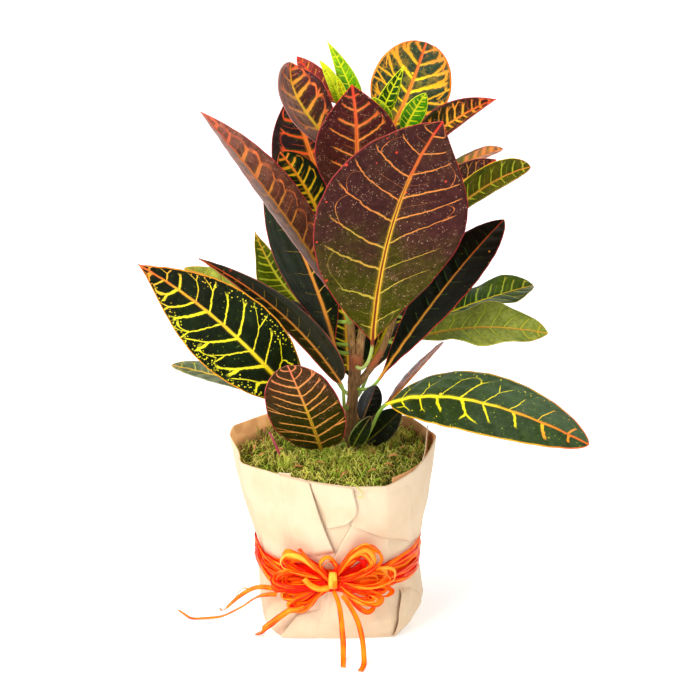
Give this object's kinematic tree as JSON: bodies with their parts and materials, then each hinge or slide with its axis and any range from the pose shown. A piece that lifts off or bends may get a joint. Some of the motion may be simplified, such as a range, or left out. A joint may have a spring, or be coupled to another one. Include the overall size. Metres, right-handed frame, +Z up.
{
  "type": "potted croton",
  "caption": "Bushy houseplant with broad veined red, yellow and green leaves in a nursery pot, wrapped in kraft paper tied with a raffia bow.",
  "frame": {"origin": "middle of the wrap's flat foot, on the surface that the pot stands on", "axes": "+Z up, front with the bow towards -Y, +X to the right seen from the front"},
  "size_m": [0.3591, 0.2618, 0.4949],
  "materials": {
    "kraft_paper": "matte",
    "pot": "satin",
    "soil": "matte",
    "moss": "matte",
    "bark": "matte",
    "stalk": "satin",
    "raffia": "satin",
    "leaf_dark": "satin",
    "leaf_maroon": "satin",
    "leaf_olive": "satin",
    "leaf_young": "satin",
    "leaf_gold": "satin"
  },
  "bodies": {
    "root": {"paper_wrap": "kraft_paper", "pot": "pot", "soil": "soil", "moss": "moss", "stem": "bark", "loose_stalk": "stalk", "raffia_band": "raffia", "raffia_bow": "raffia", "raffia_tail_1": "raffia", "raffia_tail_2": "raffia", "raffia_tail_3": "raffia", "raffia_tail_4": "raffia", "raffia_tail_5": "raffia", "leaf_front_big": "leaf_maroon", "leaf_front_second": "leaf_maroon", "leaf_front_low": "leaf_maroon", "leaf_top_left": "leaf_maroon", "leaf_top_left_narrow": "leaf_maroon", "leaf_new_yellow": "leaf_young", "leaf_new_yellow_small": "leaf_young", "leaf_new_bud": "leaf_young", "leaf_back_left": "leaf_maroon", "leaf_top_right": "leaf_gold", "leaf_new_dark": "leaf_young", "leaf_new_green": "leaf_young", "leaf_new_curled": "leaf_young", "leaf_right_upper": "leaf_maroon", "leaf_right_pink": "leaf_gold", "leaf_right_brown": "leaf_maroon", "leaf_right_olive": "leaf_olive", "leaf_right_dark": "leaf_dark", "leaf_right_wavy": "leaf_olive", "leaf_right_wavy_low": "leaf_olive", "leaf_right_low": "leaf_dark", "leaf_edge_red": "leaf_maroon", "leaf_left_big": "leaf_dark", "leaf_left_under": "leaf_olive", "leaf_left_mid": "leaf_maroon", "leaf_left_pale": "leaf_olive", "leaf_left_small": "leaf_olive", "leaf_left_dark": "leaf_dark", "leaf_left_long": "leaf_maroon", "leaf_left_inner": "leaf_dark", "leaf_behind_trunk": "leaf_dark", "leaf_trunk_side": "leaf_dark", "leaf_moss_side_dark": "leaf_dark", "leaf_moss_side_green": "leaf_dark", "leaf_back_low_right": "leaf_dark", "leaf_back_low_left": "leaf_dark", "leaf_back_low": "leaf_dark", "leaf_back_middle": "leaf_dark", "leaf_back_middle_right": "leaf_maroon", "leaf_back_upper_left": "leaf_maroon", "leaf_back_centre": "leaf_dark", "leaf_back_high": "leaf_maroon", "leaf_back_high_right": "leaf_maroon"}
  },
  "joints": []
}
